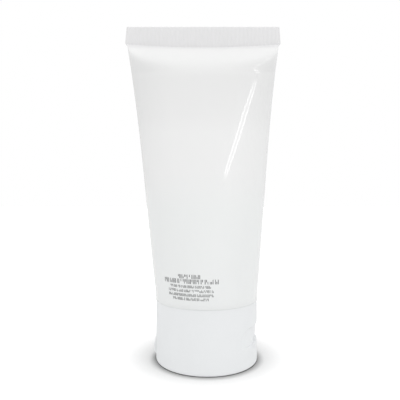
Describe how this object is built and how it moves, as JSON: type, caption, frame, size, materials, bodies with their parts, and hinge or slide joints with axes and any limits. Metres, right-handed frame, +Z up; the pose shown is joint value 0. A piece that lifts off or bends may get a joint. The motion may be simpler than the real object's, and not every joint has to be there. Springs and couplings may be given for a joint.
{
  "type": "squeeze tube with flip-top cap",
  "caption": "White plastic squeeze tube, flattened and crimped at the top, standing on a screwed flip-top cap with a thumb recess and a strap hinge.",
  "frame": {"origin": "middle of the lid's flat face, on which the tube stands", "axes": "+Z up along the tube to the end seal, X along the flattened seal, -Y the front of the tube"},
  "size_m": [0.0547, 0.0354, 0.1156],
  "materials": {
    "sleeve_plastic": "white satin polyethylene",
    "cap_plastic": "white satin polypropylene",
    "lotion": "smooth cream"
  },
  "bodies": {
    "tube": {"sleeve": "sleeve_plastic", "tube_head": "sleeve_plastic", "lotion": "lotion"},
    "cap": {"cap_body": "cap_plastic", "hinge_strap": "cap_plastic"},
    "flip_lid": {"lid": "cap_plastic"}
  },
  "joints": [
    {"name": "cap_unscrew", "type": "hinge", "parent": "tube", "child": "cap", "pos_m": [0, 0, 0.0208], "axis": [0, 0, -1], "range_deg": [0, 450]},
    {"name": "lid_open", "type": "hinge", "parent": "cap", "child": "flip_lid", "pos_m": [-0.01738, 0.00306, 0.00722], "axis": [0.1736, 0.9848, 0], "range_deg": [0, 165], "deforming": ["hinge_strap"]}
  ]
}
